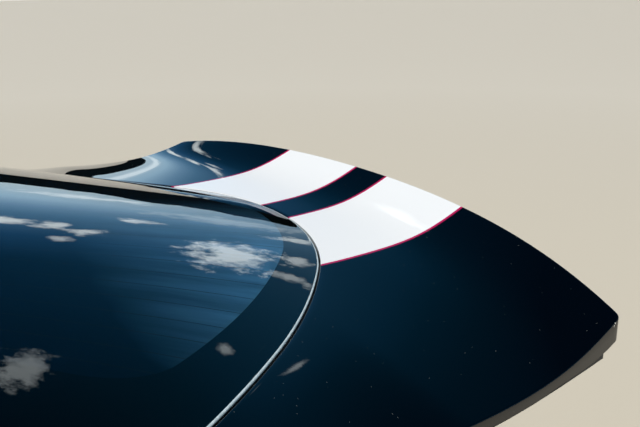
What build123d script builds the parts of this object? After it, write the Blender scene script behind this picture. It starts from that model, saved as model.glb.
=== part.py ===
from build123d import *
import math
import os

os.makedirs("parts", exist_ok=True)

# Rear hatch of a sports car with a bonded window, in millimetres.
# The origin is the centre of the hinge bolts. +X is the car's right, +Y its front, +Z up.

# The hatch from above, right half
TAIL_Y = -1385.0
CORNER_X = 714.0
CORNER_Y = -1258.0
CORNER_R = 16.0
INNER_CORNER_R = 5.0
SHOULDER_X = 766.0
SHOULDER_Y = -742.0
SIDE_BULGE = 5.5
FRONT_X = 625.0
FRONT_CORNER_Y = -105.0
FRONT_CORNER_R = 55.0
FRONT_Y = -60.0

# The window from above, right half
GLASS_TAIL_Y = -1138.0
GLASS_TAIL_R = 533.0
GLASS_TAIL_X = 320.0
GLASS_HIP_X = 550.0
GLASS_HIP_Y = -821.0
GLASS_BEND_X = 678.0
GLASS_BEND_Y = -670.0
GLASS_WIDE_X = 706.0
GLASS_WIDE_Y = -585.0
GLASS_FRONT_X = 588.0
GLASS_FRONT_CORNER_Y = -160.0
GLASS_FRONT_CORNER_R = 50.0
GLASS_FRONT_Y = -108.0

# Heights of the window's dome: a parabola along the centreline and one across
CROWN_Y = -75.0
CROWN_Z = 68.0
CROWN_RUN = 1070.0
CROWN_DROP = 218.0
CROWN_TILT = 0.70
ARCH_FRONT = 0.00015
ARCH_RISE = 0.00049

# Heights of the painted deck and of the lip at its tail
DECK_Z = -149.7
DECK_SAG = 30.0
DECK_SAG_X = 735.0
DECK_CLIMB_Y = -1110.0
DECK_CLIMB = 0.000334
DECK_CLIMB_BLEND = 60.0
MERGE_FROM_Y = -950.0
MERGE_TO_Y = -600.0
LIP_SLOPE = 0.455
LIP_RUN = 95.0
LIP_BLEND = 38.0
LIP_FADE = 0.21

# Walls
SKIN_T = 3.0
GLASS_T = 5.0
GLASS_GAP = 4.0
HEM_H = 16.0
TAIL_HEM_H = 34.0
TAIL_HEM_RUN = 150.0
REBATE_H = 9.0
REBATE_GAP = 3.0
BOND_H = 6.0
BOND_W = 12.0
BOND_INSET = 14.0
FRAME_T = 2.5
FRAME_DEPTH = 30.0
FRAME_INSET = 14.0
HOLE_W = 16.0
HOLE_L = 40.0
HOLE_PLACES = (
    # across the car, along the car, turn in degrees
    (150.0, -94.0, -3.0),
    (270.0, -100.0, -5.0),
    (540.0, -129.5, -8.0),
    (660.0, -265.0, 112.0),
    (696.0, -375.0, 106.0),
    (725.5, -560.0, 95.0),
    (702.0, -705.0, 68.0),
    (655.0, -805.0, 62.0),
    (578.0, -950.0, 58.0),
    (700.0, -900.0, 84.0),
    (686.0, -1005.0, 82.0),
)
LEDGE_W = 48.0
LEDGE_LIP = 10.0
JOINT_GAP = 0.3

# Hinges
HINGE_X = 420.0
PIN_Z = 30.0
PIN_R = 4.0
PIN_FIT = 0.05
PIN_HEAD_T = 3.0
PIN_HEAD_R = 6.5
BOLT_Y = 22.0
BOLT_HOLE_R = 4.5
BASE_T = 4.0
BASE_W = 48.0
BASE_L = 68.0
BASE_CORNER_R = 8.0
EAR_T = 4.0
EAR_R = 12.0
ARM_T = 12.0
ARM_W = 17.0
ARM_SIDE_GAP = 0.5
ARM_EYE_R = 13.0
ARM_BEND_R = 24.0
NECK_Y = -40.0
NECK_DROP = 6.0
DIP_Y = -66.0
DIP_DROP = 76.0
FOOT_DROP = 66.0
FOOT_T = 5.0
FOOT_W = 64.0
FOOT_Y = -113.0
FOOT_L = 34.0

# Gas struts: the pivots are centres of their balls
STRUT_X = 672.0
BODY_PIVOT_Y = -101.0
BODY_PIVOT_Z = -188.0
HATCH_PIVOT_Y = -475.0
HATCH_PIVOT_Z = -120.0
BALL_R = 5.0
BALL_FIT = 0.12
STUD_R = 3.2
STUD_ROOM = 1.2
SOCKET_R = 8.5
SOCKET_W = 15.0
TUBE_R = 10.5
TUBE_BORE_R = 8.5
TUBE_L = 292.0
TUBE_START = 26.0
CAP_T = 8.0
ROD_R = 4.0
ROD_FIT = 0.06
ROD_L = 330.0
PISTON_L = 8.0
PISTON_FIT = 0.1
NECK_R = 5.0
NECK_SUNK = 2.0
PLATE_X = 688.0
PLATE_T = 4.0
STUD_FLANGE_R = 6.5
STUD_FLANGE_T = 3.0
HATCH_PLATE_L = 48.0
HATCH_PLATE_DROP = 18.0
HATCH_FOOT_W = 42.0
BODY_PLATE_L = 92.0
BODY_PLATE_H = 34.0
BODY_BOLT_Y = 32.0
BODY_BOLT_R = 3.3
BODY_CORNER_R = 8.0

# Latch striker, bumpers, wedges, trim and the closing panel under the tail
STRIKER_Y = -1222.0
STRIKER_W = 72.0
STRIKER_L = 34.0
STRIKER_T = 3.0
STRIKER_WIRE_R = 4.0
STRIKER_SPAN = 34.0
STRIKER_H = 32.0
STRIKER_BEND_R = 9.0
BUMPER_X = 645.0
BUMPER_Y = -1190.0
BUMPER_R = 12.0
BUMPER_RIM = 4.0
BUMPER_RIM_T = 3.0
BUMPER_H = 17.0
BUMPER_NOSE_R = 4.0
WEDGE_X = 690.0
WEDGE_Y = -1110.0
WEDGE_W = 22.0
WEDGE_L = 46.0
WEDGE_H = 15.0
WEDGE_CHAMFER = 3.0
TRIM_T = 2.5
TRIM_X = 560.0
TRIM_FRONT_Y = -1010.0
TRIM_REACH = 600.0
TRIM_TAIL_INSET = 66.0
TRIM_GLASS_GAP = 14.0
TRIM_NOTCH_W = 96.0
TRIM_NOTCH_L = 60.0
CUP_X = 230.0
CUP_Y = -1200.0
CUP_W = 120.0
CUP_L = 44.0
CUP_H = 14.0
CUP_WALL = 3.0
CLOSEOUT_XS = (-650.0, -430.0, -215.0, 0.0, 215.0, 430.0, 650.0)
CLOSEOUT_T = 2.5
CLOSEOUT_GAP = 4.0
CLOSEOUT_L = 58.0
CLOSEOUT_TOP = 20.0

# Where the arcs and sections of the lofts stand
LIP_FOOT = 175.0
OVERRUN = 30.0
DECK_FRONT_Y = -880.0
SIDE_STOPS = (-720.0, -560.0, -250.0, -20.0)
SECTION_XS = (-800.0, -560.0, -300.0, 0.0, 300.0, 560.0, 800.0)
DOME_YS = (-1240.0, -1050.0, -860.0, -650.0, -420.0, -200.0, -20.0)
DOME_X = 745.0
TALL = 700.0


def tail_edge_y(x):
    """The tail's edge from above is one arc through its middle and its corners."""
    bow = CORNER_Y - TAIL_Y
    radius = (CORNER_X**2 + bow**2) / (2 * bow)
    return TAIL_Y + radius - math.sqrt(radius**2 - x**2)


def glass_z(x, y):
    """Height of the window's outer face."""
    along = (CROWN_Y - y) / CROWN_RUN
    crown = CROWN_Z - CROWN_DROP * (CROWN_TILT * along + (1 - CROWN_TILT) * along**2)
    arch = ARCH_FRONT + ARCH_RISE * along * abs(along)
    return crown - arch * x**2 / 2


def deck_z(x, y):
    """Height of the deck without its lip: it takes over from the window's dome."""
    climb = (y - DECK_CLIMB_Y + math.hypot(y - DECK_CLIMB_Y, DECK_CLIMB_BLEND)) / 2
    deck = DECK_Z - DECK_SAG * (x / DECK_SAG_X) ** 4 + DECK_CLIMB * climb**2
    share = min(1.0, max(0.0, (y - MERGE_FROM_Y) / (MERGE_TO_Y - MERGE_FROM_Y)))
    share = share * share * (3 - 2 * share)
    return deck * (1 - share) + glass_z(x, y) * share


def skin_z(x, y):
    """Height of the painted skin: the deck plus a lip that steepens softly towards the tail's edge."""
    past = (LIP_RUN - (y - tail_edge_y(x))) / LIP_BLEND
    slope = LIP_SLOPE * (1 - LIP_FADE * (x / CORNER_X) ** 2)
    return deck_z(x, y) + slope * LIP_BLEND * math.log1p(math.exp(past))


def hem_z(x, y):
    """Height of the hem's lower edge, which is deeper at the tail and tapers along the sides."""
    share = min(1.0, max(0.0, (y - tail_edge_y(x)) / TAIL_HEM_RUN))
    share = share * share * (3 - 2 * share)
    return skin_z(x, y) - TAIL_HEM_H * (1 - share) - HEM_H * share


def below(height, drop):
    return lambda x, y: height(x, y) - drop


def fore_aft_line(x, height):
    """Arcs along the car at one distance from its centreline."""
    tail = tail_edge_y(x)
    foot = tail + LIP_FOOT
    stops = (tail - OVERRUN, tail + LIP_FOOT / 3, foot, (foot + DECK_FRONT_Y) / 2, DECK_FRONT_Y, *SIDE_STOPS)
    arcs = []
    for start, end in zip(stops, stops[1:]):
        middle = (start + end) / 2
        arcs.append(ThreePointArc(*[(x, y, height(x, y)) for y in (start, middle, end)]))
    return arcs


def skin_sheet(top, bottom):
    """A sheet between two heights, lofted across the car through fore-and-aft sections."""
    sections = []
    for x in SECTION_XS:
        upper = fore_aft_line(x, top)
        lower = fore_aft_line(x, bottom)
        front = Line(upper[-1] @ 1, lower[-1] @ 1)
        back = Line(upper[0] @ 0, lower[0] @ 0)
        sections.append(make_face(Wire([*upper, front, *lower, back])))
    return loft(sections)


def dome_sheet(top_drop, bottom_drop):
    """A sheet parallel to the window, lofted along the car through arched sections."""
    sections = []
    for y in DOME_YS:
        corners = []
        arcs = []
        for drop in (top_drop, bottom_drop):
            points = [(x, y, glass_z(x, y) - drop) for x in (-DOME_X, 0.0, DOME_X)]
            arc = ThreePointArc(*points)
            arcs.append(arc)
            corners.append((points[0], points[2]))
        left = Line(corners[0][0], corners[1][0])
        right = Line(corners[0][1], corners[1][1])
        sections.append(make_face(Wire([arcs[0], right, arcs[1], left])))
    return loft(sections)


def both_sides(edges):
    return [*edges, *[edge.mirror(Plane.YZ) for edge in edges]]


def hatch_outline():
    chord = Vector(SHOULDER_X, SHOULDER_Y) - Vector(CORNER_X, CORNER_Y)
    middle = Vector(CORNER_X, CORNER_Y) + chord * 0.5 + Vector(chord.Y, -chord.X).normalized() * SIDE_BULGE
    side = ThreePointArc((CORNER_X, CORNER_Y), middle, (SHOULDER_X, SHOULDER_Y))
    shoulder = TangentArc((SHOULDER_X, SHOULDER_Y), (FRONT_X, FRONT_CORNER_Y), tangent=side % 1)
    tail = ThreePointArc((-CORNER_X, CORNER_Y), (0, TAIL_Y), (CORNER_X, CORNER_Y))
    front = ThreePointArc((-FRONT_X, FRONT_CORNER_Y), (0, FRONT_Y), (FRONT_X, FRONT_CORNER_Y))
    return make_face([tail, front, *both_sides([side, shoulder])])


def glass_outline():
    turn = math.asin(GLASS_TAIL_X / GLASS_TAIL_R)
    tail_end_y = GLASS_TAIL_Y + GLASS_TAIL_R * (1 - math.cos(turn))
    tail = ThreePointArc((-GLASS_TAIL_X, tail_end_y), (0, GLASS_TAIL_Y), (GLASS_TAIL_X, tail_end_y))
    hip = TangentArc(
        (GLASS_TAIL_X, tail_end_y), (GLASS_HIP_X, GLASS_HIP_Y), tangent=(math.cos(turn), math.sin(turn))
    )
    bend = TangentArc((GLASS_HIP_X, GLASS_HIP_Y), (GLASS_BEND_X, GLASS_BEND_Y), tangent=hip % 1)
    wide = TangentArc((GLASS_BEND_X, GLASS_BEND_Y), (GLASS_WIDE_X, GLASS_WIDE_Y), tangent=bend % 1)
    fore = TangentArc((GLASS_WIDE_X, GLASS_WIDE_Y), (GLASS_FRONT_X, GLASS_FRONT_CORNER_Y), tangent=wide % 1)
    front = ThreePointArc(
        (-GLASS_FRONT_X, GLASS_FRONT_CORNER_Y), (0, GLASS_FRONT_Y), (GLASS_FRONT_X, GLASS_FRONT_CORNER_Y)
    )
    return make_face([tail, front, *both_sides([hip, bend, wide, fore])])


def moved_outline(sharp, inset):
    return offset(sharp, amount=-inset, kind=Kind.INTERSECTION) if inset else sharp


def hatch_prism(inset=0.0):
    """An upright block inside the hatch's outline, with its four corners rounded."""
    face = moved_outline(HATCH_SHARP, inset)
    face = fillet(face.vertices().sort_by(Axis.Y)[:2], max(CORNER_R - inset, INNER_CORNER_R))
    face = fillet(face.vertices().sort_by(Axis.Y)[-2:], max(FRONT_CORNER_R - inset, INNER_CORNER_R))
    return extrude(Pos(0, 0, -TALL / 2) * face, TALL)


def glass_prism(inset=0.0):
    """An upright block inside the window's outline, with its front corners rounded."""
    face = moved_outline(GLASS_SHARP, inset)
    face = fillet(face.vertices().sort_by(Axis.Y)[-2:], max(GLASS_FRONT_CORNER_R - inset, INNER_CORNER_R))
    return extrude(Pos(0, 0, -TALL / 2) * face, TALL)


HATCH_SHARP = hatch_outline()
GLASS_SHARP = glass_outline()

# Painted skin: panel, hem round its edge, turned-down edge round the window
opening = glass_prism(-GLASS_GAP)
hem_band = hatch_prism() - hatch_prism(SKIN_T)
skin = (skin_sheet(skin_z, below(skin_z, SKIN_T)) & hatch_prism()) - opening
hem = skin_sheet(below(skin_z, SKIN_T), hem_z) & hem_band
rebate = skin_sheet(below(skin_z, SKIN_T), below(skin_z, REBATE_H)) & (
    glass_prism(-GLASS_GAP - SKIN_T) - opening
)
skin = skin.fuse(hem, rebate)

# Window, and the bead that bonds it to the frame
glass = dome_sheet(0, GLASS_T) & glass_prism()
bond_band = glass_prism(BOND_INSET) - glass_prism(BOND_INSET + BOND_W)
bond = dome_sheet(GLASS_T, GLASS_T + BOND_H) & bond_band

# Inner pan: a channel with a floor between an outer wall and an inner wall, lower beside the window
frame_top = below(skin_z, SKIN_T + JOINT_GAP)
frame_floor = FRAME_DEPTH + FRAME_T
channel = hatch_prism(FRAME_INSET + FRAME_T) - glass_prism(-FRAME_T)
frame = skin_sheet(frame_top, below(deck_z, frame_floor)) & (hatch_prism(FRAME_INSET) - glass_prism())
frame -= skin_sheet(below(skin_z, -SKIN_T), below(deck_z, FRAME_DEPTH)) & channel
frame -= skin_sheet(below(skin_z, -SKIN_T), below(deck_z, REBATE_H + REBATE_GAP)) & glass_prism(
    -GLASS_GAP - SKIN_T - REBATE_GAP
)

# Access holes in the pan's floor, in pairs
for hole_x, hole_y, turn in HOLE_PLACES:
    for side in (1, -1):
        slot = Rot(0, 0, side * turn) * SlotOverall(HOLE_L, HOLE_W)
        frame -= extrude(Pos(side * hole_x, hole_y, -TALL / 2) * slot, TALL)

# Window ledge inside the pan's inner wall, with a turned-down lip round the view
ledge_top = GLASS_T + BOND_H
ledge = dome_sheet(ledge_top, ledge_top + LEDGE_LIP) & (glass_prism(JOINT_GAP) - glass_prism(LEDGE_W))
ledge -= dome_sheet(ledge_top + FRAME_T, ledge_top + 2 * LEDGE_LIP) & glass_prism(
    JOINT_GAP + FRAME_T
) - glass_prism(LEDGE_W - FRAME_T)

# What hangs under the floor of the frame starts here
under_floor = below(deck_z, frame_floor + JOINT_GAP)


def pad(x, y, width, length, height, thickness):
    """A plate whose top follows a height at its four corners."""
    ends = []
    for side_x in (x - width / 2, x + width / 2):
        tops = [(side_x, side_y, height(side_x, side_y)) for side_y in (y - length / 2, y + length / 2)]
        bottoms = [(px, py, pz - thickness) for px, py, pz in tops]
        ends.append(make_face(Polyline(tops[0], tops[1], bottoms[1], bottoms[0], tops[0])))
    return loft(ends, ruled=True)


def along_x(radius, x_from, x_to, y, z):
    """A round bar across the car."""
    return Plane(origin=(x_from, y, z), z_dir=(1, 0, 0)) * extrude(Circle(radius), x_to - x_from)


def hinge_base():
    base = Pos(HINGE_X, 0, BASE_T / 2) * Box(BASE_W, BASE_L, BASE_T)
    base = fillet(base.edges().filter_by(Axis.Z), BASE_CORNER_R)
    ear_x = ARM_T / 2 + ARM_SIDE_GAP
    for start in (HINGE_X - ear_x - EAR_T, HINGE_X + ear_x):
        ear = along_x(EAR_R, start, start + EAR_T, 0, PIN_Z)
        ear += Pos(start + EAR_T / 2, 0, PIN_Z / 2) * Box(EAR_T, 2 * EAR_R, PIN_Z)
        base += ear
    base -= along_x(PIN_R, HINGE_X - BASE_W, HINGE_X + BASE_W, 0, PIN_Z)
    for y in (-BOLT_Y, BOLT_Y):
        base -= Pos(HINGE_X, y, 0) * Cylinder(BOLT_HOLE_R, 4 * BASE_T)
    return base


def hinge_pin():
    reach = ARM_T / 2 + ARM_SIDE_GAP + EAR_T
    pin = along_x(PIN_R, HINGE_X - reach - PIN_HEAD_T, HINGE_X + reach + PIN_HEAD_T, 0, PIN_Z)
    return pin + along_x(PIN_HEAD_R, HINGE_X - reach - PIN_HEAD_T, HINGE_X - reach, 0, PIN_Z)


def hinge_arm():
    """A gooseneck that dips under the edge of the roof and comes up to the frame's floor."""
    foot_z = under_floor(HINGE_X, FOOT_Y) - FOOT_T / 2
    turns = ((0, 0), (NECK_Y, NECK_DROP), (DIP_Y, DIP_DROP), (FOOT_Y, FOOT_DROP), (FOOT_Y, PIN_Z - foot_z))
    points = [(HINGE_X, y, PIN_Z - drop) for y, drop in turns]
    path = FilletPolyline(*points, radius=ARM_BEND_R)
    section = Plane(origin=path @ 0, z_dir=path % 0, x_dir=(1, 0, 0)) * Rectangle(ARM_T, ARM_W)
    arm = sweep(section, path=path)
    arm += along_x(ARM_EYE_R, HINGE_X - ARM_T / 2, HINGE_X + ARM_T / 2, 0, PIN_Z)
    arm += pad(HINGE_X, FOOT_Y, FOOT_W, FOOT_L, under_floor, FOOT_T)
    return arm - along_x(PIN_R + PIN_FIT, HINGE_X - ARM_T, HINGE_X + ARM_T, 0, PIN_Z)


STRUT_RUN = Vector(0, HATCH_PIVOT_Y - BODY_PIVOT_Y, HATCH_PIVOT_Z - BODY_PIVOT_Z)
STRUT_L = STRUT_RUN.length
strut_frame = Plane(
    origin=(STRUT_X, BODY_PIVOT_Y, BODY_PIVOT_Z), x_dir=(1, 0, 0), z_dir=STRUT_RUN.normalized()
)


def barrel(radius, start, end):
    """A round stretch of the strut, from its ball on the body."""
    return strut_frame * (Pos(0, 0, start) * extrude(Circle(radius), end - start))


def socket(distance):
    """The cup at a strut's end, open on its outer side."""
    y = BODY_PIVOT_Y + STRUT_RUN.Y * distance / STRUT_L
    z = BODY_PIVOT_Z + STRUT_RUN.Z * distance / STRUT_L
    cup = along_x(SOCKET_R, STRUT_X - SOCKET_W / 2, STRUT_X + SOCKET_W / 2, y, z)
    cup -= Pos(STRUT_X, y, z) * (Rot(0, 0, 180) * Sphere(BALL_R + BALL_FIT))
    return cup - along_x(STUD_R + STUD_ROOM, STRUT_X, STRUT_X + SOCKET_W, y, z)


def strut_tube():
    end = TUBE_START + TUBE_L
    tube = barrel(TUBE_R, TUBE_START, end) - barrel(TUBE_BORE_R, TUBE_START + CAP_T, end - CAP_T)
    tube -= barrel(ROD_R + ROD_FIT, end - 2 * CAP_T, end + CAP_T)
    return tube + socket(0) + barrel(NECK_R, SOCKET_R - NECK_SUNK, TUBE_START + NECK_SUNK)


def strut_rod():
    start = STRUT_L - SOCKET_R + NECK_SUNK
    rod = barrel(ROD_R, start - ROD_L, start)
    rod += barrel(TUBE_BORE_R - PISTON_FIT, start - ROD_L, start - ROD_L + PISTON_L)
    return rod + socket(STRUT_L)


def ball_stud(y, z, end_x):
    stud = Pos(STRUT_X, y, z) * (Rot(0, 0, 180) * Sphere(BALL_R))
    stud += along_x(STUD_R, STRUT_X, end_x, y, z)
    return stud + along_x(STUD_FLANGE_R, end_x - STUD_FLANGE_T, end_x, y, z)


def hatch_bracket():
    foot_x = PLATE_X + HATCH_FOOT_W / 2
    bracket = pad(foot_x, HATCH_PIVOT_Y, HATCH_FOOT_W, HATCH_PLATE_L, under_floor, PLATE_T)
    low = HATCH_PIVOT_Z - HATCH_PLATE_DROP
    high = under_floor(PLATE_X + PLATE_T, HATCH_PIVOT_Y - HATCH_PLATE_L / 2) - PLATE_T / 4
    plate = Pos(PLATE_X + PLATE_T / 2, HATCH_PIVOT_Y, (low + high) / 2) * Box(
        PLATE_T, HATCH_PLATE_L, high - low
    )
    return bracket + plate


def body_bracket():
    plate = Pos(PLATE_X + PLATE_T / 2, BODY_PIVOT_Y, BODY_PIVOT_Z) * Box(
        PLATE_T, BODY_PLATE_L, BODY_PLATE_H
    )
    plate = fillet(plate.edges().filter_by(Axis.X), BODY_CORNER_R)
    for y in (-BODY_BOLT_Y, BODY_BOLT_Y):
        plate -= along_x(BODY_BOLT_R, PLATE_X - PLATE_T, PLATE_X + 2 * PLATE_T, BODY_PIVOT_Y + y, BODY_PIVOT_Z)
    return plate


def striker():
    """A bent wire loop on a plate, which the latch in the body closes on."""
    plate = pad(0, STRIKER_Y, STRIKER_W, STRIKER_L, under_floor, STRIKER_T)
    top = under_floor(0, STRIKER_Y) - STRIKER_T / 2
    half = STRIKER_SPAN / 2
    path = FilletPolyline(
        (-half, STRIKER_Y, top),
        (-half, STRIKER_Y, top - STRIKER_H),
        (half, STRIKER_Y, top - STRIKER_H),
        (half, STRIKER_Y, top),
        radius=STRIKER_BEND_R,
    )
    wire = sweep(Plane(origin=path @ 0, z_dir=path % 0) * Circle(STRIKER_WIRE_R), path=path)
    return plate + wire


def bumper():
    top = under_floor(BUMPER_X + BUMPER_R + BUMPER_RIM, BUMPER_Y - BUMPER_R)
    stem = Pos(BUMPER_X, BUMPER_Y, top - BUMPER_H / 2) * Cylinder(BUMPER_R, BUMPER_H)
    stem = fillet(stem.edges().group_by(Axis.Z)[0], BUMPER_NOSE_R)
    return stem + Pos(BUMPER_X, BUMPER_Y, top - BUMPER_RIM_T / 2) * Cylinder(BUMPER_R + BUMPER_RIM, BUMPER_RIM_T)


def wedge():
    block = pad(WEDGE_X, WEDGE_Y, WEDGE_W, WEDGE_L, under_floor, WEDGE_H)
    return chamfer(block.edges().group_by(Axis.Z)[0], WEDGE_CHAMFER)


def tail_trim():
    """The moulded cover on the floor behind the window, open round the striker."""
    area = hatch_prism(TRIM_TAIL_INSET) - glass_prism(-TRIM_GLASS_GAP)
    area &= Pos(0, TRIM_FRONT_Y - TRIM_REACH / 2, 0) * Box(2 * TRIM_X, TRIM_REACH, TALL)
    area -= Pos(0, STRIKER_Y - TRIM_NOTCH_L / 2, 0) * Box(TRIM_NOTCH_W, 2 * TRIM_NOTCH_L, TALL)
    return skin_sheet(under_floor, below(under_floor, TRIM_T)) & area


def pull_cup():
    """A grip moulded as a shallow open box."""
    under_trim = below(under_floor, TRIM_T + 2 * JOINT_GAP)
    cup = pad(CUP_X, CUP_Y, CUP_W, CUP_L, under_trim, CUP_H)
    hollow = pad(
        CUP_X, CUP_Y, CUP_W - 2 * CUP_WALL, CUP_L - 2 * CUP_WALL, below(under_trim, CUP_WALL), CUP_H
    )
    return cup - hollow


def tail_closeout():
    """The dark panel inside the tail's hem, down to the floor and forward under it."""
    sections = []
    for x in CLOSEOUT_XS:
        back = tail_edge_y(x) + CLOSEOUT_GAP
        front = tail_edge_y(x) + CLOSEOUT_L
        top = skin_z(x, back) - CLOSEOUT_TOP
        back_z = under_floor(x, back)
        front_z = under_floor(x, front)
        corners = (
            (back, top),
            (back + CLOSEOUT_T, top),
            (back + CLOSEOUT_T, back_z),
            (front, front_z),
            (front, front_z - CLOSEOUT_T),
            (back, back_z - CLOSEOUT_T),
            (back, top),
        )
        sections.append(make_face(Polyline(*[(x, y, z) for y, z in corners])))
    return loft(sections)


one_side = {
    "hinge_base": hinge_base(),
    "hinge_pin": hinge_pin(),
    "hinge_arm": hinge_arm(),
    "strut_tube": strut_tube(),
    "strut_rod": strut_rod(),
    "strut_body_stud": ball_stud(BODY_PIVOT_Y, BODY_PIVOT_Z, PLATE_X),
    "strut_hatch_stud": ball_stud(HATCH_PIVOT_Y, HATCH_PIVOT_Z, PLATE_X - JOINT_GAP),
    "strut_body_bracket": body_bracket(),
    "strut_hatch_bracket": hatch_bracket(),
    "bumper": bumper(),
    "guide_wedge": wedge(),
}
nodes = {
    "outer_skin": skin,
    "rear_glass": glass,
    "glass_bond": bond,
    "inner_frame": frame,
    "window_ledge": ledge,
    "latch_striker": striker(),
    "tail_trim": tail_trim(),
    "pull_cup": pull_cup(),
    "tail_closeout": tail_closeout(),
}
for name, shape in one_side.items():
    nodes[f"{name}_right"] = shape
    nodes[f"{name}_left"] = shape.mirror(Plane.YZ)
for name, shape in nodes.items():
    print(name, len(shape.solids()), round(shape.volume), shape.is_valid)
    export_step(shape, f"parts/{name}.step")
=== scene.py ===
# %% [markdown]
# # The rear hatch of a sports car
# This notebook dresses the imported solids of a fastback's rear hatch: a painted panel with two white
# stripes, a domed window bonded into it, and the hinges and gas struts that carry it. The solids
# already have the right sizes and places, so every new piece is worked out in the same frame, in
# metres: the origin is the middle of the hinge bolts, +X the car's right, +Y its front and +Z up.

import math

import bpy
import numpy as np
from mathutils import Matrix


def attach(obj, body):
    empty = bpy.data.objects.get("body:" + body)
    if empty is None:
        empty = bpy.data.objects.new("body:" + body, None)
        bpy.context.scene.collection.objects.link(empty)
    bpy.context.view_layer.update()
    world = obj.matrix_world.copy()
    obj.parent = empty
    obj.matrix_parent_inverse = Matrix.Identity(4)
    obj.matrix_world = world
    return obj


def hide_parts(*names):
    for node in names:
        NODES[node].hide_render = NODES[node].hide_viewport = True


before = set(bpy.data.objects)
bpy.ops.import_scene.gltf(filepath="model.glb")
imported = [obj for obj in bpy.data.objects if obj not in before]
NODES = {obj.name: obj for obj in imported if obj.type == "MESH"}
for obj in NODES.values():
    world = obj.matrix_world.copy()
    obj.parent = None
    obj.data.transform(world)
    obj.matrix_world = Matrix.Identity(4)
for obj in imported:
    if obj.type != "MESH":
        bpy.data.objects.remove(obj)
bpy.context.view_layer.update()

# %% [markdown]
# ## The camera
# The photograph looks over the hatch from the car's left, from about the height of the roof. A
# camera's turn is easiest to read as three angles: where it faces, how far it looks down, and how
# far it leans. They give its right, up and back directions, which are the columns of its matrix.

# %% Place the camera
CAMERA_AT = (-1.2607, -0.420, 0.304)
LOOK_YAW, LOOK_DOWN, LEAN = (math.radians(v) for v in (33.283, 17.647, -1.353))
LENS_MM, SENSOR_MM, NEAR_CLIP = 42.31, 36, 0.02


def unit(vector):
    """The vector over its length."""
    return vector / np.linalg.norm(vector)


def facing(place, forward, lean=0.0):
    """The matrix with columns right, up and back: right is level and square to the way forward, and
    then turns about it by the lean, and up is square to both."""
    level = unit(np.cross(forward, (0, 0, 1)))
    right = math.cos(lean) * level + math.sin(lean) * np.cross(level, forward)
    turn = np.column_stack((right, np.cross(right, forward), -forward))
    return Matrix.Translation(place) @ Matrix(turn.tolist()).to_4x4()


# Forward turns from +X towards -Y by the yaw, and dips by the second angle.
forward = np.array((math.cos(LOOK_YAW), -math.sin(LOOK_YAW), -math.tan(LOOK_DOWN))) * math.cos(LOOK_DOWN)
camera = bpy.data.objects.new("camera", bpy.data.cameras.new("camera"))
camera.matrix_world = facing(CAMERA_AT, forward, LEAN)
camera.data.lens = LENS_MM
camera.data.sensor_width = SENSOR_MM
camera.data.clip_start = NEAR_CLIP
bpy.context.scene.collection.objects.link(camera)
bpy.context.scene.camera = camera
print("camera at", CAMERA_AT, "lens", LENS_MM)

# %% [markdown]
# ## The form of the bodywork
# A panel like this could be sculpted, or fitted through a net of curves. Here its height is a
# formula of the place, because paint shows every dent: the window is a dome, the deck behind it
# is nearly level, and a lip rises towards the tail. The same few numbers shape the solids.

# %% Heights of the window, the deck and the lip
TAIL_Y = -1.385
CORNER = (0.714, -1.258)
CROWN_Y, CROWN_Z, CROWN_RUN, CROWN_DROP, CROWN_TILT = -0.075, 0.068, 1.070, 0.218, 0.70
ARCH_FRONT, ARCH_RISE = 0.15, 0.49
DECK_Z, DECK_SAG, DECK_SAG_X = -0.1497, 0.030, 0.735
CLIMB_Y, CLIMB, CLIMB_BLEND = -1.110, 0.334, 0.060
MERGE_FROM_Y, MERGE_TO_Y = -0.950, -0.600
LIP_SLOPE, LIP_RUN, LIP_BLEND, LIP_FADE = 0.455, 0.095, 0.038, 0.21


def tail_edge_y(x):
    """The tail is one circle through its middle and its corners: its y at a distance x."""
    bow = CORNER[1] - TAIL_Y
    radius = (CORNER[0] ** 2 + bow**2) / (2 * bow)
    return TAIL_Y + radius - np.sqrt(radius**2 - x**2)


def smooth_step(value, first, last):
    """0 before the first place, 1 after the last, and 3 t squared less 2 t cubed between them."""
    t = np.clip((value - first) / (last - first), 0, 1)
    return t * t * (3 - 2 * t)


def glass_z(x, y):
    """Crown minus arch: a parabola falling to the rear along the middle, less half the curvature
    times x squared, where the curvature grows with the square of the way to the tail."""
    along = (CROWN_Y - y) / CROWN_RUN
    crown = CROWN_Z - CROWN_DROP * (CROWN_TILT * along + (1 - CROWN_TILT) * along**2)
    return crown - (ARCH_FRONT + ARCH_RISE * along * np.abs(along)) * x**2 / 2


def deck_z(x, y):
    """A level deck that sags with the fourth power of x and climbs forward, and goes over into the
    dome's height by a smooth step between two lines across the car."""
    climb = (y - CLIMB_Y + np.hypot(y - CLIMB_Y, CLIMB_BLEND)) / 2
    deck = DECK_Z - DECK_SAG * (x / DECK_SAG_X) ** 4 + CLIMB * climb**2
    share = smooth_step(y, MERGE_FROM_Y, MERGE_TO_Y)
    return deck * (1 - share) + glass_z(x, y) * share


def skin_z(x, y):
    """The deck plus a ramp that steepens softly towards the tail's edge: the blend length times the
    logarithm of one plus an exponential is nothing far ahead of the lip and a plain slope past it."""
    past = (LIP_RUN - (y - tail_edge_y(x))) / LIP_BLEND
    slope = LIP_SLOPE * (1 - LIP_FADE * (x / CORNER[0]) ** 2)
    return deck_z(x, y) + slope * LIP_BLEND * np.log1p(np.exp(past))


print("crown:", round(float(glass_z(0, CROWN_Y)), 4), "tail:", round(float(skin_z(0, TAIL_Y)), 4))

# %% [markdown]
# ## Outlines from arcs
# Seen from above, the hatch and its window are chains of arcs, as a draughtsman would draw them.
# An arc through three points needs its circle's centre, which is where two chords' bisectors meet.

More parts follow.
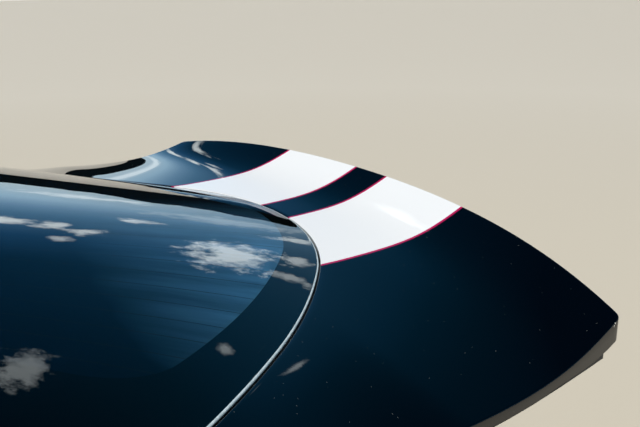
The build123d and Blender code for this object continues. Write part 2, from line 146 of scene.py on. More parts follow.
# %% Arcs, tangent arcs and rounded corners
def arc(start, middle, end, count=60):
    """Points at even angles on the circle through three points. The centre solves two equations:
    it is as far from the start as from the middle, and as far as from the end."""
    a, b, c = (np.asarray(p, float) for p in (start, middle, end))
    centre = np.linalg.solve(2 * np.array((b - a, c - a)), np.array((b @ b - a @ a, c @ c - a @ a)))
    first, last = (math.atan2(*(p - centre)[::-1]) for p in (a, c))
    turn = (last - first + math.pi) % (2 * math.pi) - math.pi
    angles = first + turn * np.linspace(0, 1, count)
    return centre + np.linalg.norm(a - centre) * np.column_stack((np.cos(angles), np.sin(angles)))


def tangent_arc(start, direction, end, count=60):
    """The arc that leaves a point in a given direction: it swells from its chord by half the chord
    times the tangent of half the angle between the two. Returns the points and the last direction."""
    start, end, direction = (np.asarray(v, float) for v in (start, end, direction))
    chord, direction = end - start, unit(direction)
    along = unit(chord)
    across = np.array((-along[1], along[0]))
    angle = math.atan2(direction @ across, direction @ along)
    middle = (start + end) / 2 + across * np.linalg.norm(chord) / 2 * math.tan(angle / 2)
    return arc(start, middle, end, count), 2 * (direction @ along) * along - direction


def round_corner(points, index, radius, count=12):
    """Cuts a corner back by radius times the tangent of half its turn and bridges it by an arc."""
    corner = points[index]
    come, go = unit(corner - points[index - 2]), unit(points[index + 2] - corner)
    turn = math.acos(np.clip(come @ go, -1, 1))
    cut = radius * math.tan(turn / 2)
    bisector = unit(go - come)
    centre = corner + bisector * radius / math.cos(turn / 2)
    bridge = arc(corner - come * cut, centre - bisector * radius, corner + go * cut, count)
    apart = np.linalg.norm(points - corner, axis=1) > cut
    before, after = np.arange(len(points)) < index, np.arange(len(points)) > index
    return np.vstack((points[before & apart], bridge, points[after & apart]))


# %% [markdown]
# The window's outline has five arcs on each side: its tail, the hip, a run to the bend, a tight turn
# to its widest place and the side that runs to the front. Each leaves the last one in the same
# direction, so a reflection along the rim never breaks. The hatch has a tail, a side and a shoulder.
# One arc across the front closes either of them, with rounded corners.

# %% The right halves of both outlines, from the tail's middle round to the front's
FULL_ARC, TAIL_ARC = 241, 60  # points on an arc across the whole car, and on the half of a tail
SHOULDER, SIDE_BULGE, CORNER_R = (0.766, -0.742), 0.0055, 0.016
FRONT_CORNER, FRONT_Y, FRONT_CORNER_R = (0.625, -0.105), -0.060, 0.055
# a tail's y, radius and half width, and a front's y and corner radius
WINDOW_TAIL, WINDOW_END = (-1.138, 0.533, 0.320), (-0.108, 0.050)
HIP, BEND, WIDE, WINDOW_FRONT = (0.550, -0.821), (0.678, -0.670), (0.706, -0.585), (0.588, -0.160)


def closed_at_front(points, front_y, radius):
    """Half the front arc from the last point, and the corner between the two rounded."""
    last = tuple(points[-1])
    front = arc((-last[0], last[1]), (0, front_y), last, FULL_ARC)[FULL_ARC // 2 :][::-1]
    return round_corner(np.vstack((points, front[1:])), len(points) - 1, radius)


def chain_half(tail, stops, end):
    """A tail arc about the middle, arcs that each leave the last one in its own direction, and half
    a front arc."""
    tail_y, radius, half_width = tail
    turn = math.asin(half_width / radius)
    angles = np.linspace(0, turn, TAIL_ARC)
    points = np.column_stack((np.sin(angles), 1 - np.cos(angles))) * radius + (0, tail_y)
    leaving = (math.cos(turn), math.sin(turn))
    for stop in stops:
        run, leaving = tangent_arc(points[-1], leaving, stop)
        points = np.vstack((points, run[1:]))
    return closed_at_front(points, *end)


def hatch_half():
    """Tail arc, a side that bulges from its chord, an arc tangent to it, and half the front arc."""
    tail = arc((-CORNER[0], CORNER[1]), (0, TAIL_Y), CORNER, FULL_ARC)[FULL_ARC // 2 :]
    chord = np.subtract(SHOULDER, CORNER)
    out = unit(np.array((chord[1], -chord[0])))
    side = arc(CORNER, np.add(CORNER, SHOULDER) / 2 + out * SIDE_BULGE, SHOULDER)
    shoulder = tangent_arc(SHOULDER, side[-1] - side[-2], FRONT_CORNER)[0]
    half = closed_at_front(np.vstack((tail, side[1:], shoulder[1:])), FRONT_Y, FRONT_CORNER_R)
    return round_corner(half, len(tail) - 1, CORNER_R)


HATCH_HALF = hatch_half()
WINDOW_HALF = chain_half(WINDOW_TAIL, (HIP, BEND, WIDE, WINDOW_FRONT), WINDOW_END)
print("outlines:", len(HATCH_HALF), "and", len(WINDOW_HALF), "points a side")

# %% [markdown]
# ## From outlines to closed loops
# Both outlines are read as a distance at an angle about one centre. A point of the window's rim
# then has a partner on the hatch's edge, and the panel is what lies between the two. The angles
# are packed more closely where the edge turns, so that its corners stay round.

# %% Loops at shared angles
CENTRE = np.array((0.0, -0.620))


def angles_of(half):
    """The angle of each point of a right half: arc tangent of its x over its way back from the centre."""
    return np.arctan2(np.abs(half[:, 0]), CENTRE[1] - half[:, 1])


def reach(half, angle):
    """Distance from the centre to an outline, read off between its points by angle from the tail.
    Any angle is first brought between minus and plus half a turn, because only its size counts."""
    turned = np.abs((np.asarray(angle) + math.pi) % (2 * math.pi) - math.pi)
    return np.interp(turned, angles_of(half), np.hypot(*(half - CENTRE).T))


def at_angle(radius, angle):
    """Centre plus radius times (sine, minus cosine): angle 0 points to the tail."""
    return CENTRE + np.stack((radius * np.sin(angle), -radius * np.cos(angle)), axis=-1)


def shared_angles(half, count, corner_weight=0.05):
    """Angles at even steps of length plus a share of the turning, mirrored to the left half."""
    step = np.diff(half, axis=0)
    heading = np.unwrap(np.arctan2(step[:, 1], step[:, 0]))
    turning = np.abs(np.gradient(heading)) * corner_weight
    travelled = np.concatenate(([0], np.cumsum(np.hypot(*step.T) + turning)))
    right = np.interp(np.linspace(0, travelled[-1], count // 2 + 1), travelled, angles_of(half))
    return np.concatenate((-right[:0:-1], right[:-1]))


def outward(loop):
    """Unit vectors square to a closed loop: the neighbours' difference turned by a right angle."""
    along = np.roll(loop, -1, axis=0) - np.roll(loop, 1, axis=0)
    normal = np.column_stack((along[:, 1], -along[:, 0]))
    normal /= np.linalg.norm(normal, axis=1, keepdims=True)
    return normal * np.sign(np.sum(normal * (loop - CENTRE), axis=1).mean())


# %% [markdown]
# ## From arrays to meshes
# Every new piece ends up as grids of points, some closed in one direction and some in both. One
# helper turns a grid into faces, and another closes the open ends of bars with caps. The mesh's
# volume shows whether its faces point outwards: when it is negative, they are turned round.

# %% Mesh helpers
SHARP = math.radians(38)


def grid_faces(rows, columns, close_rows=False, close_columns=False, first=0):
    """Quads between neighbours of a grid of point numbers, wrapped round where a side is closed."""
    index = first + np.arange(rows * columns).reshape(rows, columns)
    if close_rows:
        index = np.vstack((index, index[:1]))
    if close_columns:
        index = np.hstack((index, index[:, :1]))
    quads = (index[:-1, :-1], index[1:, :-1], index[1:, 1:], index[:-1, 1:])
    return np.stack([q.ravel() for q in quads], axis=1)


def closed_rings(rings):
    """Rings of points and their faces, closed round each ring and from the last to the first."""
    return rings, [grid_faces(*rings.shape[:2], close_rows=True, close_columns=True)]


def capped_bars(bars):
    """The points of bars that all have so many rings of so many corners, and the faces of their sides
    and of their two ends."""
    count, rings, corners = bars.shape[:3]
    firsts, ring, last = rings * corners * np.arange(count), np.arange(corners), (rings - 1) * corners
    sides = [grid_faces(rings, corners, close_columns=True, first=first) for first in firsts]
    ends = [first + end for first in firsts for end in (ring, last + ring[::-1])]
    return bars, [np.vstack(sides), np.array(ends)]


def volume(points, faces):
    """Sum over the triangles of the box that a triangle's corners span, divided by six."""
    total = 0.0
    for face in faces:
        for k in range(1, face.shape[1] - 1):
            a, b, c = (points[face[:, i]] for i in (0, k, k + 1))
            total += float(np.sum(a * np.cross(b, c))) / 6
    return total


def add_mesh(name, points, faces, body, slot, replaced=()):
    """Puts points and lists of equal faces into a mesh, outwards, smooth but for its sharp edges."""
    points = np.asarray(points, float).reshape(-1, 3)
    if volume(points, faces) < 0:
        faces = [face[:, ::-1] for face in faces]
    mesh = bpy.data.meshes.new(name)
    corners = np.concatenate([face.ravel() for face in faces])
    sizes = np.concatenate([np.full(len(face), face.shape[1]) for face in faces])
    mesh.vertices.add(len(points))
    mesh.vertices.foreach_set("co", points.astype(np.float32).ravel())
    mesh.loops.add(len(corners))
    mesh.loops.foreach_set("vertex_index", corners.astype(np.int32))
    mesh.polygons.add(len(sizes))
    mesh.polygons.foreach_set("loop_start", (np.cumsum(sizes) - sizes).astype(np.int32))
    mesh.update(calc_edges=True)
    mesh.validate()
    mesh.shade_smooth()
    mesh.set_sharp_from_angle(angle=SHARP)
    piece = bpy.data.objects.new(name, mesh)
    bpy.context.scene.collection.objects.link(piece)
    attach(piece, body)
    if replaced:
        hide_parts(*replaced)
    print(name, len(points), "points, volume", round(volume(points, faces) * 1e6, 1), "ml")
    return piece


# %% [markdown]
# ## The painted panel
# The real skin is one moulding with a turned-down hem at its edge and a small flange down round
# the window. A flat sheet with Solidify could not give both, so the panel is a closed profile
# carried round the loop: over the top, round the edge, down the hem, back underneath and up again.

# %% Build the painted panel
SKIN_T, EDGE_R, WINDOW_EDGE_R, WINDOW_GAP = 0.003, 0.0025, 0.0010, 0.0032
HEM_H, TAIL_HEM_H, TAIL_HEM_RUN, REBATE_H = 0.016, 0.034, 0.150, 0.009
HEM_BREAK = 0.001  # the small chamfer at the hem's lower edge and in its inner corner
LOOP_COUNT, TOP_RINGS, UNDER_RINGS, EDGE_STEPS, WINDOW_EDGE_STEPS = 560, 52, 26, 6, 5
CROWDING = 1.5  # above 1, the top's rings lie closer together towards the outer edge


def panel_rings(angles):
    """Each ring is a place on the profile for all angles at once: a point in plan and a height. The
    plan moves square to an edge, and the height is the skin's there, or at a base, less a drop."""
    outer = at_angle(reach(HATCH_HALF, angles), angles)
    rim = at_angle(reach(WINDOW_HALF, angles), angles)
    out, away = outward(outer), outward(rim)
    inner = rim + away * WINDOW_GAP
    rings = []

    def ring(plan, drop, base=None):
        x, y = (plan if base is None else base).T
        rings.append(np.column_stack((plan, skin_z(x, y) - drop)))

    start, stop = inner + away * WINDOW_EDGE_R, outer - out * EDGE_R
    for t in 1 - (1 - np.linspace(0, 1, TOP_RINGS)) ** CROWDING:
        ring(start + (stop - start) * t, 0)
    for turn in np.linspace(0, math.pi / 2, EDGE_STEPS)[1:]:
        ring(stop + out * EDGE_R * math.sin(turn), EDGE_R * (1 - math.cos(turn)), stop)
    share = smooth_step(outer[:, 1] - tail_edge_y(outer[:, 0]), 0, TAIL_HEM_RUN)
    hem = TAIL_HEM_H + (HEM_H - TAIL_HEM_H) * share
    for inwards, drop in (
        (0, hem / 2), (0, hem - HEM_BREAK), (HEM_BREAK, hem), (SKIN_T, hem), (SKIN_T, SKIN_T + HEM_BREAK),
    ):
        ring(outer - out * inwards, drop, stop)
    start, stop = inner + away * SKIN_T, outer - out * (SKIN_T + HEM_BREAK)
    for t in np.linspace(1, 0, UNDER_RINGS):
        ring(start + (stop - start) * t, SKIN_T)
    ring(start, REBATE_H)
    ring(inner, REBATE_H, start)
    for turn in np.linspace(0, math.pi / 2, WINDOW_EDGE_STEPS)[:-1]:
        plan = inner + away * WINDOW_EDGE_R * (1 - math.cos(turn))
        ring(plan, WINDOW_EDGE_R * (1 - math.sin(turn)), inner + away * WINDOW_EDGE_R)
    return np.array(rings)


rings = panel_rings(shared_angles(HATCH_HALF, LOOP_COUNT))
panel = add_mesh("painted_panel", *closed_rings(rings), "hatch", "dark_paint", ("outer_skin",))

# %% [markdown]
# ## The window
# The glass is a dome five millimetres thick with a rounded, ground edge, which catches a bright
# line all round. A disc of spokes would pinch in the middle, where a reflection shows it, so the
# rim is split into four sides and the face between them is blended from all four.

# %% Build the window
GLASS_T, GLASS_EDGE_R = 0.005, 0.0021
PATCH_TAIL, PATCH_FRONT = math.radians(38), math.radians(128)
PATCH_ACROSS, PATCH_ALONG, FINE_WALK = 110, 130, 900


def rim_side(half, first, last, count):
    """Rim points between two angles at even lengths, read off a fine walk along the outline."""
    angles = np.linspace(first, last, FINE_WALK)
    fine = at_angle(reach(half, angles), angles)
    travelled = np.concatenate(([0], np.cumsum(np.linalg.norm(np.diff(fine, axis=0), axis=1))))
    wanted = np.linspace(0, travelled[-1], count)
    return np.column_stack([np.interp(wanted, travelled, fine[:, k]) for k in (0, 1)])


def blended_patch(tail, front, left, right):
    """Tail and front blended along, plus left and right blended across, less the blended corners."""
    s = np.linspace(0, 1, len(tail))[None, :, None]
    t = np.linspace(0, 1, len(left))[:, None, None]
    along = tail[None] * (1 - t) + front[None] * t
    across = left[:, None] * (1 - s) + right[:, None] * s
    corners = (tail[0] * (1 - s) + tail[-1] * s) * (1 - t) + (front[0] * (1 - s) + front[-1] * s) * t
    return along + across - corners


def patch_in(half, inset, across, along):
    """The plan of a patch inside an outline, shrunk by an inset, and its rim's points in order."""
    tail = rim_side(half, -PATCH_TAIL, PATCH_TAIL, across)
    right = rim_side(half, PATCH_TAIL, PATCH_FRONT, along)
    front = rim_side(half, PATCH_FRONT, 2 * math.pi - PATCH_FRONT, across)
    loop = np.vstack((tail[:-1], right[:-1], front[:-1], (right * (-1, 1))[::-1][:-1]))
    shrunk = loop - outward(loop) * inset
    cuts = np.cumsum((0, across - 1, along - 1, across - 1))
    tail, right = shrunk[cuts[0] : cuts[1] + 1], shrunk[cuts[1] : cuts[2] + 1]
    front = shrunk[cuts[2] : cuts[3] + 1][::-1]
    left = np.vstack((shrunk[cuts[3] :], shrunk[:1]))[::-1]
    plan = blended_patch(tail, front, left, right)
    index = np.arange(plan.shape[0] * plan.shape[1]).reshape(plan.shape[:2])
    return plan, np.concatenate((index[0, :-1], index[:-1, -1], index[-1, :0:-1], index[:0:-1, 0]))


def domed_sheet(half, inset, size, drop, thickness, bulge=0.0, turns=()):
    """Upper and lower faces from the same patch, joined by rings round the edge: at each turn the
    ring lies out by the bulge times its sine, and down by half the thickness times 1 less its cosine."""
    plan, order = patch_in(half, inset, *size)
    height = glass_z(plan[..., 0], plan[..., 1]) - drop
    upper = np.dstack((plan, height)).reshape(-1, 3)
    lower = upper - (0, 0, thickness)
    rim = upper[order]
    out = np.column_stack((outward(rim[:, :2]), np.zeros(len(rim))))
    edge = []
    for turn in turns:
        down = thickness / 2 * (1 - math.cos(turn))
        edge.append(rim + out * bulge * math.sin(turn) - (0, 0, down))
    count = len(upper)
    points = np.vstack((upper, lower, *edge))
    rounds = [2 * count + k * len(order) + np.arange(len(order)) for k in range(len(turns))]
    bands = [order, *rounds, order + count]
    strips = [
        np.column_stack((np.roll(low, -1), np.roll(high, -1), high, low))
        for high, low in zip(bands, bands[1:])
    ]
    top = grid_faces(*plan.shape[:2])[:, ::-1]
    bottom = grid_faces(*plan.shape[:2], first=count)
    return points, [np.vstack((top, bottom, *strips))]


PATCH, EDGE_TURNS = (PATCH_ACROSS, PATCH_ALONG), np.linspace(0, math.pi, 9)[1:-1]
sheet = domed_sheet(WINDOW_HALF, GLASS_EDGE_R, PATCH, 0, GLASS_T, GLASS_EDGE_R, EDGE_TURNS)
window = add_mesh("window_glass", *sheet, "hatch", "tinted_glass", ("rear_glass",))

# %% [markdown]
# On the glass's lower face a black enamel is fired on as a band that hides the bonding bead. It is
# a thin ring of its own, just inside that face, so that no film of air lies between it and the glass.
# Its inner edge is not parallel to the rim: the band is narrow at the tail and wide at the sides,
# and turns in one tight arc at the widest place, so that edge gets its own chain of arcs.

# %% Build the enamel band
CLEAR_TAIL, CLEAR_END = (-1.087, 0.430, 0.260), (-0.190, 0.045)
CLEAR_HIP, CLEAR_TURN, CLEAR_FRONT = (0.570, -0.685), (0.577, -0.568), (0.430, -0.228)
BAND_RIM_GAP, BAND_T, BAND_COUNT, BAND_STEPS = 0.004, 0.0002, 480, 12
BAND_DROP, PRINT_DROP, FILM_DROP = (GLASS_T - above for above in (0.0009, 0.0006, 0.0004))

CLEAR_HALF = chain_half(CLEAR_TAIL, (CLEAR_HIP, CLEAR_TURN, CLEAR_FRONT), CLEAR_END)


def band_rings(angles):
    """Even steps from near the rim inwards on top, and the same back underneath."""
    rim, clear = reach(WINDOW_HALF, angles) - BAND_RIM_GAP, reach(CLEAR_HALF, angles)
    steps = np.linspace(0, 1, BAND_STEPS)
    rings = []
    for t, drop in [(t, 0) for t in steps] + [(t, BAND_T) for t in steps[::-1]]:
        plan = at_angle(rim + (clear - rim) * t, angles)
        rings.append(np.column_stack((plan, glass_z(plan[:, 0], plan[:, 1]) - BAND_DROP - drop)))
    return np.array(rings)


rings = band_rings(shared_angles(CLEAR_HALF, BAND_COUNT))
band = add_mesh("enamel_band", *closed_rings(rings), "hatch", "tinted_glass")

# %% [markdown]
# Fine printed lines heat the glass. On this window they fan out towards the tail, where they are
# about 50 mm apart. All of them together are one mesh: a narrow flat bar for each, which follows
# the dome from the band at the tail or the side to the band at the front.

# %% Build the heater's lines
FAN_Y, HEATER_Y, HEATER_STEP, HEATER_SIDE_LINES = 0.60, -0.80, 0.0503, 18
HEATER_W, HEATER_T, HEATER_OVERLAP, HEATER_POINTS = 0.0013, 0.00008, 0.004, 71


def heater_lines():
    """For each line, four long edges of a flat bar. All lines meet in a point ahead of the window, so
    a line's x is its x at one y, times the way to that point over the way from that one y."""
    spread = CLEAR_HALF[:, 0] * (FAN_Y - HEATER_Y) / (FAN_Y - CLEAR_HALF[:, 1])
    widest = np.argmax(spread)
    xs = np.arange(-HEATER_SIDE_LINES, HEATER_SIDE_LINES + 1) * HEATER_STEP
    start = np.interp(np.abs(xs), spread[: widest + 1], CLEAR_HALF[: widest + 1, 1]) - HEATER_OVERLAP
    stop = np.interp(np.abs(xs), spread[widest:][::-1], CLEAR_HALF[widest:, 1][::-1]) + HEATER_OVERLAP
    y = start[:, None] + (stop - start)[:, None] * np.linspace(0, 1, HEATER_POINTS)
    corners = []
    for side, drop in ((-1, 0), (1, 0), (1, 1), (-1, 1)):
        x = xs[:, None] * (FAN_Y - y) / (FAN_Y - HEATER_Y) + side * HEATER_W / 2
        z = glass_z(x, y) - PRINT_DROP - drop * HEATER_T
        corners.append(np.dstack((x, y, z)))
    return np.stack(corners, axis=2)


heater = add_mesh("heater_lines", *capped_bars(heater_lines()), "hatch", "tinted_glass")

# %% [markdown]
# The glass itself is nearly clear. A dark film on its lower face, under the lines and the band,
# makes it a privacy window, and its colour is painted light and shade: the car's lit inside seen
# through the glass. It is a sheet like the window, and ends just under the band.

# %% Build the film
FILM_T, FILM_UNDER_BAND, FILM_PATCH = 0.00015, 0.003, (60, 70)
sheet = domed_sheet(CLEAR_HALF, -FILM_UNDER_BAND, FILM_PATCH, FILM_DROP, FILM_T)
film = add_mesh("privacy_film_painted_inside", *sheet, "hatch", "tinted_glass")

# %% [markdown]
# ## Screws and clips
# Underneath, flange screws hold the arms, the brackets and the striker, and push clips hold the
# trim. Each is turned: a short list of heights and radii is carried round an axis. A hexagon is a
# circle whose radius is divided by the cosine of the angle to the middle of the nearest flat.

# %% Build the screws and clips
SCREW = (  # height and radius, as in the clip
    (-0.0006, 0.0085), (0.0012, 0.0085), (0.0020, 0.0070),
    (0.0020, 0.0050), (0.0068, 0.0050), (0.0075, 0.0042),
)
SCREW_FLATS = (3, 4, 5)
CLIP = (
    (-0.0005, 0.0095), (0.0006, 0.0095), (0.0018, 0.0078),
    (0.0021, 0.0050), (0.0013, 0.0042), (0.0013, 0.0006),
)
FRAME_UNDER, FOOT_T, BRACKET_T, STRIKER_T, TRIM_T = 0.0328, 0.005, 0.004, 0.003, 0.0025
SCREWED = (
    (FOOT_T, ((0.397, -0.113), (0.443, -0.113))), (BRACKET_T, ((0.710, -0.488), (0.710, -0.462))),
    (STRIKER_T, ((0.027, -1.222),)),
)
TRIM_CLIPS = (
    (0.120, -1.300), (0.330, -1.272), (0.505, -1.235), (0.150, -1.148), (0.345, -1.062), (0.505, -1.035),
)


def turned(profile, flats=(), sides=36):
    """Rings of (height, radius) round the Z axis, hexagonal where a row is one of the flats."""
    angles = np.arange(sides) / sides * 2 * math.pi
    from_flat = (angles + math.pi / 6) % (math.pi / 3) - math.pi / 6
    rings = []
    for row, (height, radius) in enumerate(profile):
        radii = radius / (np.cos(from_flat) if row in flats else np.ones(sides))
        rings.append((radii * np.cos(angles), radii * np.sin(angles), np.full(sides, height)))
    return np.swapaxes(rings, 1, 2)


def hung_places(spots, drop):
    """For spots on the right and their mirrored ones: the place under the deck and the direction
    straight out of it, which is minus (minus slope in x, minus slope in y, 1)."""
    step, places = 0.001, []
    for x, y in [(side * x, y) for x, y in spots for side in (1, -1)]:
        slope_x = (deck_z(x + step, y) - deck_z(x - step, y)) / (2 * step)
        slope_y = (deck_z(x, y + step) - deck_z(x, y - step)) / (2 * step)
        places.append((np.array((x, y, deck_z(x, y) - drop)), np.array((slope_x, slope_y, -1.0))))
    return places


def copies(rings, places):
    """The rings at each place, with their axis turned to its direction."""
    points = []
    for place, direction in places:
        ahead = unit(direction)
        side = unit(np.cross((0, 1, 0), ahead))
        points.append(place + rings @ np.array((side, np.cross(ahead, side), ahead)))
    return np.array(points)


screw_places = sum((hung_places(spots, FRAME_UNDER + plate) for plate, spots in SCREWED), [])
all_screws = copies(turned(SCREW, SCREW_FLATS), screw_places)
all_clips = copies(turned(CLIP), hung_places(TRIM_CLIPS, FRAME_UNDER + TRIM_T))
screws = add_mesh("flange_screws", *capped_bars(all_screws), "hatch", "plated_steel")
clips = add_mesh("trim_clips", *capped_bars(all_clips), "hatch", "black_plastic")

# %% [markdown]
# ## Materials
# Every finish is a small network of nodes that reads Object coordinates, so it stays on its piece
# when the hatch opens. One helper makes a material with its shader, and another adds a node and
# plugs in what it is given. A socket knows its own tree, so few helpers need be told it.

# %% Material helpers
def plug(value, socket):
    """Links a value that is itself a socket, and otherwise sets it, a colour as an opaque one."""
    if isinstance(value, bpy.types.NodeSocket):
        socket.id_data.links.new(value, socket)
    else:
        socket.default_value = (*value, 1) if socket.type == "RGBA" else value


def add_node(kind, *inputs, tree=None, **settings):
    """A shader node with its settings, in a tree or else where its inputs come from. Each input is
    the name or number of a socket, and what to plug into it."""
    tree = tree or next(value.id_data for _, value in inputs if isinstance(value, bpy.types.NodeSocket))
    node = tree.nodes.new("ShaderNode" + kind)
    for key, value in settings.items():
        setattr(node, key, value)
    for name, value in inputs:
        plug(value, node.inputs[name])
    return node


def new_material(name, **sockets):
    """A material whose Principled shader has these sockets set, with its shader and its place."""
    material = bpy.data.materials.new(name)
    material.use_nodes = True
    shader = material.node_tree.nodes["Principled BSDF"]
    for key, value in sockets.items():
        shader.inputs[key.replace("_", " ")].default_value = value
    return material, shader, add_node("TexCoord", tree=shader.id_data).outputs["Object"]


def noise(place, scale, detail=3.0, rough=0.55):
    """A cloudy value between 0 and 1, at so many features a metre."""
    inputs = (("Vector", place), ("Scale", scale), ("Detail", detail), ("Roughness", rough))
    return add_node("TexNoise", *inputs).outputs["Fac"]


def maths(operation, *values):
    """The result of one sum on sockets or numbers."""
    return add_node("Math", *enumerate(values), operation=operation).outputs[0]


def swing(value, width):
    """The value less a half, times a width: it swings as far below nothing as above it."""
    return maths("MULTIPLY", maths("SUBTRACT", value, 0.5), width)


def map_range(value, first, last, low=0.0, high=1.0):
    """Low where the value is first, high where it is last, even between them, and never beyond."""
    limits = (("From Min", first), ("From Max", last), ("To Min", low), ("To Max", high))
    return add_node("MapRange", ("Value", value), *limits).outputs["Result"]


def stretched(place, scale):
    """The place times a scale of its own on each axis."""
    return add_node("Mapping", ("Vector", place), ("Scale", scale)).outputs["Vector"]


def axes_of(place):
    """The X, Y and Z of a place."""
    return add_node("SeparateXYZ", ("Vector", place)).outputs


def ramp(value, *stops):
    """A colour for each place along a value, as (place, colour) stops."""
    node = add_node("ValToRGB", ("Fac", value))
    elements = node.color_ramp.elements
    while len(elements) < len(stops):
        elements.new(0.5)
    for element, (place, colour) in zip(elements, stops):
        element.position, element.color = place, (*colour, 1)
    return node.outputs["Color"]


def mix(share, first, second):
    """One colour over another by a share."""
    inputs = (("Factor", share), (6, first), (7, second))  # 6 and 7 are its colours A and B
    return add_node("Mix", *inputs, data_type="RGBA").outputs[2]


def see_through(share, shader, colour=(1, 1, 1)):
    """The surface is a share of the shader, and a tinted transparent one for the rest of it."""
    tree = shader.id_data
    through = add_node("BsdfTransparent", ("Color", colour), tree=tree)
    seen = add_node("MixShader", ("Fac", share), (1, through.outputs[0]), (2, shader.outputs[0]))
    plug(seen.outputs[0], tree.nodes["Material Output"].inputs["Surface"])


def bump(shader, height, distance, strength=1.0, socket="Normal"):
    """Tips the surface's normal along the slope of a height, for a relief so many metres deep."""
    inputs = (("Height", height), ("Distance", distance), ("Strength", strength))
    plug(add_node("Bump", *inputs).outputs["Normal"], shader.inputs[socket])


# %% [markdown]
# ## Paint and stripes
# The paint is a near-black navy under clear coat. Its two white stripes and their red pin lines
# run straight along the car, so they are bands of x: a comparison of the distance from the middle
# paints them sharply at any size of mesh, and they wrap over the tail's edge as real stripes do.

# %% The paint
STRIPE_FROM, STRIPE_TO, PIN_LINE_W = 0.0558, 0.300, 0.0060
NAVY, NAVY_DEEP = (0.0001, 0.0007, 0.0022), (0.0001, 0.0004, 0.0012)
STRIPE_WHITE, PIN_RED, DUST = (0.83, 0.83, 0.82), (0.42, 0.006, 0.075), (0.33, 0.33, 0.31)
FLAKE_COLOUR, FLAKE_SHARE = (0.01, 0.03, 0.06), 0.04
DUST_SCALE, DUST_SIZE, DUST_SHARE = 75.0, 0.034, 0.55
CHIP_AT, CHIP_R, CHIP_COLOUR = (-0.7200, -1.2440, -0.1500), 0.0085, (0.66, 0.64, 0.58)
DEPTH_SCALE, FLAKE_SCALE, CHIP_SCALE = 3.0, 2600.0, 420.0
PEEL_SCALE, PEEL_DEPTH, PEEL_STRENGTH = 260.0, 0.00001, 0.35


def band_mask(distance, low, high):
    """1 where a distance lies between two limits: above the one, times below the other."""
    return maths("MULTIPLY", maths("GREATER_THAN", distance, low), maths("LESS_THAN", distance, high))


def car_paint():
    """Navy, then the red bands, the narrower white ones, dust near scattered points and one chip, each
    mixed over the last. The clear coat alone mirrors, and has a very shallow orange peel."""
    paint, shader, place = new_material(
        "striped_car_paint",
        Roughness=0.5, Specular_IOR_Level=0.0, Coat_Weight=1.0, Coat_Roughness=0.02, Coat_IOR=1.5,
    )
    distance = maths("ABSOLUTE", axes_of(place)["X"])
    colour = mix(noise(place, DEPTH_SCALE), NAVY_DEEP, NAVY)
    colour = mix(maths("MULTIPLY", noise(place, FLAKE_SCALE, 1.0), FLAKE_SHARE), colour, FLAKE_COLOUR)
    colour = mix(band_mask(distance, STRIPE_FROM - PIN_LINE_W, STRIPE_TO + PIN_LINE_W), colour, PIN_RED)
    colour = mix(band_mask(distance, STRIPE_FROM, STRIPE_TO), colour, STRIPE_WHITE)
    specks = add_node("TexVoronoi", ("Vector", place), ("Scale", DUST_SCALE)).outputs["Distance"]
    colour = mix(maths("MULTIPLY", maths("LESS_THAN", specks, DUST_SIZE), DUST_SHARE), colour, DUST)
    from_chip = add_node("VectorMath", (0, place), (1, CHIP_AT), operation="DISTANCE").outputs["Value"]
    ragged = maths("ADD", from_chip, maths("MULTIPLY", noise(place, CHIP_SCALE, 4.0), CHIP_R))
    colour = mix(maths("LESS_THAN", ragged, CHIP_R), colour, CHIP_COLOUR)
    plug(colour, shader.inputs["Base Color"])
    bump(shader, noise(place, PEEL_SCALE, 2.0), PEEL_DEPTH, PEEL_STRENGTH, "Coat Normal")
    return paint


PAINT = car_paint()
print(PAINT.name, len(PAINT.node_tree.nodes), "nodes")

# %% [markdown]
# ## Glass and enamel
# What shows of the window is mostly the sky that it mirrors. The film lets little through, and its
# colour is painted light: a blue inside lit from one side, brighter towards the tail, with painted
# shadows of the heater's lines. The enamel is black with a faint mottle, and the heater's lines are a
# dull copper brown.

# %% Glass, film, enamel and lines
# The film's colours are painted light and shade of the car's inside: dark where it is in shade, blue where
# it is lit.
FILM_PAINTED_SHADE, FILM_PAINTED_LIGHT, FILM_SEEN = (0.0006, 0.004, 0.012), (0.055, 0.178, 0.34), (0.02, 0.10, 0.24)
FILM_SHADE_Y, FILM_LIGHT_Y, FILM_SHADE_X, FILM_LIGHT_X = -0.66, -0.98, 0.05, -0.25
FILM_COVER, DRIFT_SCALE, DRIFT_RUN = 0.94, (3.5, 1.2, 3.5), 0.16
# Painted shadows of the heater's lines, as fanned streaks in the film's colour.
LINE_SHADOW_SCALE, LINE_SHADOW_SWING = (34.0, 3.5, 1.0), 2.2
GLASS_IOR, TINT_SCALE, SMEAR_SCALE, SMEAR_ROUGHNESS = 1.52, 1.5, 14.0, 0.012
EDGE_SCALE, FROST_SCALE, FROST_DEPTH = 160.0, 900.0, 0.00003


def tinted_glass():
    """Clear, tinted and slightly uneven in colour, with a roughness that smears the mirror a little."""
    glass, shader, place = new_material("window_glass", IOR=GLASS_IOR, Transmission_Weight=1.0)
    tint = ramp(noise(place, TINT_SCALE), (0.3, (0.74, 0.86, 0.86)), (0.7, (0.80, 0.90, 0.89)))
    plug(tint, shader.inputs["Base Color"])
    plug(maths("MULTIPLY", noise(place, SMEAR_SCALE, 5.0), SMEAR_ROUGHNESS), shader.inputs["Roughness"])
    return glass


